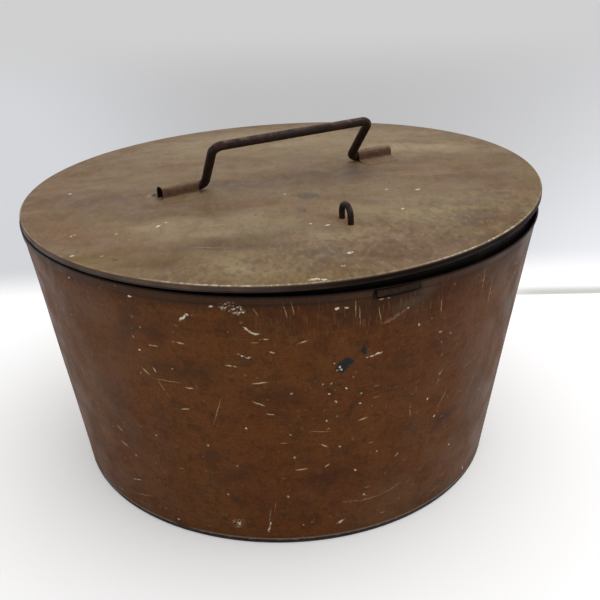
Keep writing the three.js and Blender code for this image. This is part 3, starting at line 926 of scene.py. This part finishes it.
# broad stains, among them the grip's painted shadow and a painted sheen at the back: (x, y, length, width,
# tilt), share, tone; most lie across the picture
lidStains = [
    # the first, pale beige over the back of the lid, is partly a stain and partly painted sheen
    ((40, 78, 190, 70, -26), 0.55, "beige"), ((-99, 22, 56, 36, -20), 0.65, "mauve"),
    ((-132, -12, 80, 26, -96), 0.65, "tan"), ((-112, 66, 60, 24, 48), 0.5, "tan"),
    ((-42, 54, 46, 18, -26), 0.55, "tan"), ((-84, -40, 60, 20, -26), 0.65, "beige"),
    ((-88, -12, 54, 18, -30), 0.5, "mauve"), ((-112, -48, 60, 26, -52), 0.55, "tan"),
    ((-66, -80, 56, 14, -26), 0.7, "umber"), ((-82, -60, 40, 14, -26), 0.3, "beige"),
    ((-62, -66, 34, 10, -26), 0.5, "beige"), ((-78, -100, 110, 24, -36), 0.65, "straw"),
    ((-93, -88, 44, 18, -40), 0.9, "walnut"), ((-70, -104, 44, 18, -30), 0.7, "beige"),
    # the mauve at (20, -18) and the slate at (34, -18) lie under the handle's grip: partly stains, partly
    # its painted shadow
    ((-28, -2, 40, 14, -26), 0.6, "slate"), ((20, -18, 84, 22, -24), 0.65, "mauve"),
    ((34, -18, 52, 14, -24), 0.6, "slate"), ((-28, -42, 54, 22, -26), 0.4, "tan"),
    ((-33, -82, 44, 16, -26), 0.4, "slate"), ((-40, -62, 46, 26, -26), 0.4, "beige"),
    ((100, 4, 90, 26, -26), 0.85, "beige"), ((76, -42, 60, 26, -26), 0.6, "tan"),
    ((40, -90, 70, 26, -26), 0.95, "beige"), ((52, -96, 80, 22, -24), 0.35, "olive"),
    ((58, -113, 26, 13, -26), 0.9, "slate"), ((-32, -118, 20, 14, -26), 0.8, "slate"),
    ((-54, -108, 26, 14, -26), 0.5, "umber"), ((60, -94, 28, 9, -26), 0.5, "slate"),
    ((38, -128, 70, 26, 10), 0.9, "walnut"), ((-13, -131, 60, 24, 2), 0.9, "walnut"),
    ((-7, -106, 44, 20, -26), 0.5, "tan"), ((-16, -94, 34, 14, -26), 0.6, "beige"),
    ((-40, -132, 60, 12, -14), 0.5, "straw"), ((118, -76, 34, 12, 56), 0.65, "olive"),
    ((90, -60, 44, 12, -26), 0.4, "umber"), ((12, -130, 110, 20, 2), 0.45, "walnut"),
]
acrossPicture = -26  # the direction on the lid that runs across the picture, in degrees


def lidPlane(place):
    # the place seen from above, in mm from the lid's middle, and how far out it is
    right, back = lid["offset"]
    plane = addNode(place, "VectorMath", {0: place, 1: (1, 1, 0), 2: (-right, -back, 0)},
                    operation="MULTIPLY_ADD")
    return plane, addNode(place, "VectorMath", {0: plane}, out="Value", operation="LENGTH")


def stainedPaint(plane, flat, smudged):
    # the lid's mottled colour, with the grip's painted shadow and the back's painted sheen among its
    # stains, which its saddles share
    colour = layered(srgb("#7d674b"), clouds(plane, [
        (44, 0.44, 0.6, 0.6, "#88735a", 2.2, 0.9), (30, 0.5, 0.64, 0.5, "#6f553d", 2.4, 0.8)],
        acrossPicture))
    colour = layered(colour, [
        (marks(smudged, [(x, y, length, tilt)], width, soft=0.8), share, lidTones[tone])
        for (x, y, length, width, tilt), share, tone in lidStains])
    handled = meet(ramp(flat, 106, 138),
                   patches(plane, 20, 0.34, 0.56, (1.6, 1), acrossPicture, seed=18))
    colour = layered(colour, [(handled, 0.45, "#6a4c2e")])
    return layered(colour, clouds(plane, [
        (22, 0.48, 0.66, 0.35, "#967f66", 2, 0.9), (15, 0.5, 0.66, 0.35, "#624830", 1.8, 1),
        (11, 0.5, 0.66, 0.25, "#8f6f5c", 1.3, 1.3), (9, 0.5, 0.66, 0.25, "#84764a", 1, 1.5),
        (5.5, 0.52, 0.68, 0.25, "#5f4a33", 1, 1.7), (4, 0.52, 0.68, 0.2, "#95805f", 1, 1.8),
        (3, 0.54, 0.7, 0.25, "#7d5339", 1, 1.9), (1.8, 0.54, 0.74, 0.3, "#594530", 1, 2),
        (1.3, 0.56, 0.74, 0.2, "#a8967a", 1, 2)], acrossPicture))


def fadedPaint(tree):
    # the same paint on the lid, faded and rubbed by hands: to the eye a dull khaki brown, stained across
    # the picture, mottled olive near the front and pale where the sheet bends over, partly worn and partly
    # a painted highlight
    place = surfacePlace(tree)
    plane, flat = lidPlane(place)
    smudged = ragged(plane, 20, 22)
    cut = ragged(plane, 1.6, 2)
    frayed = ragged(plane, 2, 1)
    broken = patches(plane, 1.5, 0.38, 0.54, seed=20)
    chips = marks(cut, lidMarks["chips"], 1.5)
    plug = marks(frayed, lidMarks["plug"], 10, soft=0.25)
    rust = marks(smudged, lidMarks["rust"], 16, soft=0.9)
    # the front of the lid is mottled: pale olive crumbs over dark ones, a few millimetres each
    toFront = ramp(addNode(tree, "SeparateXYZ", {0: smudged}, out="Y"), -60, -112)
    darkCrumbs = patches(plane, 3.6, 0.5, 0.62, (1, 1.6), acrossPicture, seed=11)
    paleCrumbs = patches(plane, 2.6, 0.54, 0.66, (1, 1.8), acrossPicture, seed=12)
    hairs = marks(ragged(plane, 3, 1), lidMarks["hairs"], 0.5)
    legs = [stapleSpot(staple["reach"] + side * staple["span"] / 2) for side in (-1, 1)]
    colour = layered(stainedPaint(plane, flat, smudged), [
        (meet(toFront, 0.8, darkCrumbs), 0.55, "#5b4930"),
        (meet(toFront, 0.8, paleCrumbs), 0.36, "#a08e68"),
        (meet(rust, patches(plane, 3, 0.5, 0.64, seed=13)), 0.4, "#8a6038"),
        (marks(frayed, [(x, y, 6, 0) for x, y in legs], 6, soft=0.9), 0.7, "#93633c"),
        (marks(frayed, lidMarks["halo"], 6, soft=0.8), 0.35, "#b0a084"),
        # painted shadow at the left saddle's open end
        (marks(plane, lidMarks["mouth"], 4.5, soft=0.4), 0.9, "#1f150f"),
        (meet(specks(plane, 9, 1.4, 0.25, seed=1), broken), 0.4, "#b9a887"),
        (specks(plane, 12, 1.2, 0.25, seed=2), 0.6, "#42301f"),
        (meet(plug, patches(plane, 1.8, 0.36, 0.5, seed=14)), 0.6, "#4f4438"),
        (marks(frayed, lidMarks["plugFloor"], 6, soft=0.5), 0.6, "#5f5546"),
        (meet(hairs, broken), 0.5, "#c0ae8e"),
        (marks(cut, lidMarks["pits"], 1.3), 0.8, "#352619"),
        (meet(chips, broken), 0.95, "#e0d6be")])
    # the bend carries a pale line over brown, partly rubbed and partly a painted highlight; the
    # turned-down edge is brown at the left and goes to near-black towards the middle as painted shade; the
    # underside is near-black too
    facing = facingUp(tree)
    atRim = ramp(flat, lid["radius"] - 2.4, lid["radius"] - 1.4)
    toRight = ramp(addNode(tree, "SeparateXYZ", {0: plane}, out="X"), -95, -20)
    bent = meet(atRim, ramp(facing, 0.75, 0.45))
    rubAndHighlight = meet(atRim, ramp(facing, 0.995, 0.96), ramp(facing, 0.55, 0.8))
    worn = meet(rubAndHighlight, marks(plane, lidMarks["wornRim"], 24, soft=0.7))
    side = meet(atRim, ramp(facing, 0.4, 0.1))
    shadedEdge = meet(side, toRight)
    below = addNode(tree, "Math", {0: facing, 1: -0.2}, operation="LESS_THAN")
    colour = layered(colour, [
        # painted highlight, over real wear, on the pale line of the bend
        (rubAndHighlight, 0.2, "#9c8668"), (meet(rubAndHighlight, patches(plane, 7, 0.46, 0.58, seed=15)), 0.4, "#a8947a"),
        (worn, 0.45, "#a8967a"),
        (meet(worn, patches(plane, 2.0, 0.48, 0.56, seed=16)), 0.8, "#d0c5ac"),
        # painted shade: the bend's slope and the turned-down edge darken, to near-black from the left
        # towards the middle
        (bent, 0.8, "#4c372b"), (side, 0.9, "#45342b"),
        (meet(side, patches(place, 9, 0.46, 0.62, seed=17)), 0.5, "#63493d"),
        (meet(bent, toRight), 0.75, "#2b1d15"), (shadedEdge, 0.95, "#120b08"),
        (below, 0.95, "#21160f"),
        (meet(below, patches(plane, 20, 0.5, 0.66, seed=10)), 0.4, "#4a2f20")])
    shine = addNode(tree, "MapRange", {"Value": shadedEdge, "To Min": 0.2, "To Max": 0.04})
    return shaderInputs(colour, uneven(plane, 14, 0.52, 0.7, 11), shine, [
        *grain(place, [(2.6, 0.3, 0.05, 12), (0.8, 0.3, 0.02, 13)]), (chips, -0.1), (plug, -0.12)])


def rustedWire(tree):
    # black iron wire gone to a close brown rust: dark and dry, lighter on top, partly rubbed by hands and
    # partly a painted highlight
    place = surfacePlace(tree)
    handled = meet(ramp(facingUp(tree), 0.35, 0.95), patches(place, 9, 0.4, 0.6, seed=9))
    colour = layered(srgb("#1e110c"), [
        *clouds(place, [(9, 0.5, 0.66, 0.6, "#3a2017"), (2.4, 0.5, 0.68, 0.5, "#3c2317"),
                              (1.0, 0.52, 0.7, 0.5, "#150d0a")]),
        # painted highlight with wear: lighter where the wire faces up
        (handled, 0.62, "#644636"),
        (meet(handled, patches(place, 3, 0.5, 0.62, seed=10)), 0.5, "#886b4e"),
        (specks(place, 3.2, 1.2, 0.3, seed=5), 0.4, "#7a4f33")])
    return shaderInputs(colour, uneven(place, 3, 0.42, 0.75, 6), 0.22, grain(place, [
        (1.6, 0.3, 0.14, 7), (0.5, 0.35, 0.05, 8)]))


def solderedStrip(tree):
    # the lid's paint over a soldered strip: its flanges melt into the lid, its sides are redder and
    # darker, partly painted shade, and its bore is near-black painted shade
    place = surfacePlace(tree)
    plane, flat = lidPlane(place)
    facing = facingUp(tree)
    steep = ramp(facing, 0.93, 0.55)
    aside = addNode(tree, "SeparateXYZ", {0: plane}, out="Y")
    offAxis = addNode(tree, "Math", {0: aside}, operation="ABSOLUTE")
    bore = meet(ramp(facing, 0.14, 0.03), ramp(offAxis, 3.15, 2.95))
    colour = layered(stainedPaint(plane, flat, ragged(plane, 20, 22)), [
        # painted shade, with a redder tone, on the sides that face away from above
        (steep, 0.75, "#543828"),
        (meet(steep, patches(place, 3.4, 0.5, 0.62, seed=8)), 0.5, "#3b261c"),
        (meet(steep, patches(place, 4.5, 0.5, 0.62, seed=9)), 0.5, "#6e4634"),
        *clouds(place, [(3.4, 0.52, 0.66, 0.25, "#54392a"), (1.1, 0.54, 0.7, 0.2, "#8f7860")]),
        # painted shade inside the tube
        (bore, 0.95, "#120b07")])
    return shaderInputs(colour, uneven(place, 4, 0.5, 0.7, 5), 0.2, grain(place, [
        (2.2, 0.3, 0.12, 6), (0.7, 0.35, 0.04, 7)]))


def darkPaint(tree):
    # brown paint made near-black as painted shade, for the collar in the gap under the lid and the base
    # plate inside: dusty, freckled with rust
    place = surfacePlace(tree)
    colour = layered(srgb("#0f0b08"), [
        *clouds(place, [(24, 0.45, 0.65, 0.6, "#19110c"), (8, 0.6, 0.72, 0.4, "#2f1c12"),
                              (2, 0.52, 0.7, 0.4, "#0b0706")]),
        (specks(place, 7, 2, 0.25, seed=4), 0.4, "#4b2d1b")])
    return shaderInputs(colour, uneven(place, 9, 0.5, 0.7, 5), 0.06,
                        grain(place, [(2.2, 0.3, 0.06, 6)]))


def edgedPaint(tree):
    # the hasp strip: a dark brown, with near-black painted shadow along its left end and its lower edge
    place = surfacePlace(tree)
    plane, along = wallPlane(place)[:2]
    # height over its slanting lower edge
    leaning = addNode(tree, "VectorMath", {0: plane, 1: (-haspSlope * 1.07, 1, 0)},
                      out="Value", operation="DOT_PRODUCT")
    colour = layered(srgb("#2c2019"), [
        *clouds(place, [(9, 0.45, 0.62, 0.6, "#38271b"), (2.2, 0.5, 0.68, 0.5, "#20160f"),
                              (1.2, 0.52, 0.7, 0.4, "#4d3a2a")]),
        (specks(place, 4, 1.1, 0.25, seed=4), 0.6, "#83705a"),
        # painted shadow: near-black at the strip's left end and along its lower edge
        (ramp(along, -19.6, -20.1), 0.95, "#060302"),
        (ramp(leaning, haspLow + 1.3, haspLow + 0.9), 0.95, "#060302")])
    return shaderInputs(colour, uneven(place, 4, 0.45, 0.6, 6), 0.03,
                        grain(place, [(2, 0.3, 0.07, 5)]))


wallPaint = makeMaterial("bakedBrownPaint", bakedPaint)
lidPaint = makeMaterial("fadedBrownPaint", fadedPaint)
wireRust = makeMaterial("rustedSteelWire", rustedWire)
saddlePaint = makeMaterial("paintedSolderedStrip", solderedStrip)
shadedPaint = makeMaterial("shadedBrownPaint", darkPaint)
haspPaint = makeMaterial("paintedHaspStrip", edgedPaint)
print("finishes made")

makeBodyWall(wallPaint)
makeBasePlate(shadedPaint)
makeHaspPlate(haspPaint)
makeLidPlate(lidPaint)
makeLidCollar(shadedPaint)
makeSaddle("leftSaddle", -1, "left_saddle", saddlePaint)
makeSaddle("rightSaddle", 1, "right_saddle", saddlePaint)
makeHandle(wireRust)
makeStaple(wireRust)


# Camera, at the picture's own viewing angle

camera = {
    "place": (-195.65, -425.76, 298.46), "heading": 25.95, "pitch": 24.85, "roll": 1.12,
    "lens": 50.67, "sensor": 36, "clipEnd": 50,
}


def makeCamera():
    s = camera
    data = bpy.data.cameras.new("pictureCamera")
    data.lens, data.sensor_width, data.clip_end = s["lens"], s["sensor"], s["clipEnd"]
    turn = Matrix.Rotation(radians(-s["heading"]), 4, "Z")
    turn = turn @ Matrix.Rotation(radians(90 - s["pitch"]), 4, "X")
    turn = turn @ Matrix.Rotation(radians(-s["roll"]), 4, "Z")
    eye = addObject("pictureCamera", data)
    eye.matrix_world = Matrix.Translation(Vector(s["place"]) * mm) @ turn
    bpy.context.scene.camera = eye


# Floor: a white sheet that ends a little way behind the tin, in front of pale grey. Its places are mm
# back from the tin's middle as the camera looks, and mm to the right.

floorSheet = {
    "size": 14, "sink": 0.02,
    "near": "#fbfbfb", "far": "#b3b3b4", "left": "#c8c9cd", "right": "#e0e1e5", "further": "#c3c3c3",
    "fade": (185, 275), "slant": -0.06,  # where the white sheet goes over to grey
    "toLeft": (-0.08, -0.5), "toRight": (0.1, 1.15),  # sideways over back
    "toFurther": (900, 1900),
    "sheetEdgeShadow": "#c4c6bf", "edgeShadowFront": (177, 179), "edgeShadowBack": (199, 182), "edgeShadowStart": (150, 220),
    "glow": 0.22,  # what the eye sees of it beyond its light
}


def directlySeen(tree):
    # 1 for what the camera sees, also in a reflection
    rays = addNode(tree, "LightPath").node
    return either(rays.outputs["Is Camera Ray"], rays.outputs["Is Glossy Ray"])


def paleSheet(tree):
    s = floorSheet
    heading = radians(camera["heading"])
    ahead, across = (sin(heading), cos(heading), 0), (cos(heading), -sin(heading), 0)
    back, side = [addNode(tree, "VectorMath", {0: surfacePlace(tree), 1: along},
                          out="Value", operation="DOT_PRODUCT") for along in (ahead, across)]
    aside = addNode(tree, "Math", {0: side, 1: back}, operation="DIVIDE")
    # painted shade: the grey beyond the sheet is darkest behind the tin, lighter to each side and further
    # back
    far = layered(srgb(s["far"]), [
        (ramp(aside, *s["toLeft"]), 1, s["left"]), (ramp(aside, *s["toRight"]), 1, s["right"]),
        (ramp(back, *s["toFurther"]), 1, s["further"])])
    # painted shadow: a thin grey line where the white sheet ends, to the right
    sheetEdgeShadow = meet(ramp(back, *s["edgeShadowFront"]), ramp(back, *s["edgeShadowBack"]),
                  ramp(side, *s["edgeShadowStart"]))
    near = layered(srgb(s["near"]), [(sheetEdgeShadow, 1, s["sheetEdgeShadow"])])
    slanting = addNode(tree, "Math", {0: side, 1: s["slant"], 2: back}, operation="MULTIPLY_ADD")
    return addNode(tree, "Mix", {
        0: ramp(slanting, *s["fade"]), 6: near, 7: far}, out=2, data_type="RGBA")


def makeFloor():
    s = floorSheet
    material = bpy.data.materials.new("paleSheet")
    tree = emptyTree(material)
    colour = paleSheet(tree)
    matt = addNode(tree, "BsdfDiffuse", {"Color": colour})
    glow = addNode(tree, "Emission", {
        "Color": colour, "Strength": meet(directlySeen(tree), s["glow"])})
    total = addNode(tree, "AddShader", {0: matt, 1: glow})
    addNode(tree, "OutputMaterial", {"Surface": total})
    mesh = bmesh.new()
    bmesh.ops.create_grid(mesh, x_segments=8, y_segments=8, size=s["size"] / 2)
    floor = writeMesh("floorSheet", mesh, material)
    floor.location.z = -s["sink"] * mm


# Light: an even sky and a broad overhead lamp

light = {
    "sky": 0.5, "skySeen": "#d3d4d8",
    "lampAlong": (-0.28, 0.06, -1.0), "lampSpread": 80, "lampStrength": 1.4,
}


def makeLight():
    s = light
    world = bpy.data.worlds.new("studio")
    tree = emptyTree(world)
    lit = addNode(tree, "Background", {"Color": (1, 1, 1, 1), "Strength": s["sky"]})
    shown = addNode(tree, "Background", {"Color": srgb(s["skySeen"]), "Strength": 1})
    mixed = addNode(tree, "MixShader", {0: directlySeen(tree), 1: lit, 2: shown})
    addNode(tree, "OutputWorld", {"Surface": mixed})
    bpy.context.scene.world = world
    data = bpy.data.lights.new("overhead", "SUN")
    data.angle, data.energy = radians(s["lampSpread"]), s["lampStrength"]
    lamp = addObject("overhead", data)
    lamp.location = -Vector(s["lampAlong"])
    lamp.rotation_euler = Vector(s["lampAlong"]).to_track_quat("-Z", "Y").to_euler()


makeCamera()
makeFloor()
makeLight()
bpy.context.scene.view_settings.view_transform = "Standard"
print("camera, floor and light made")
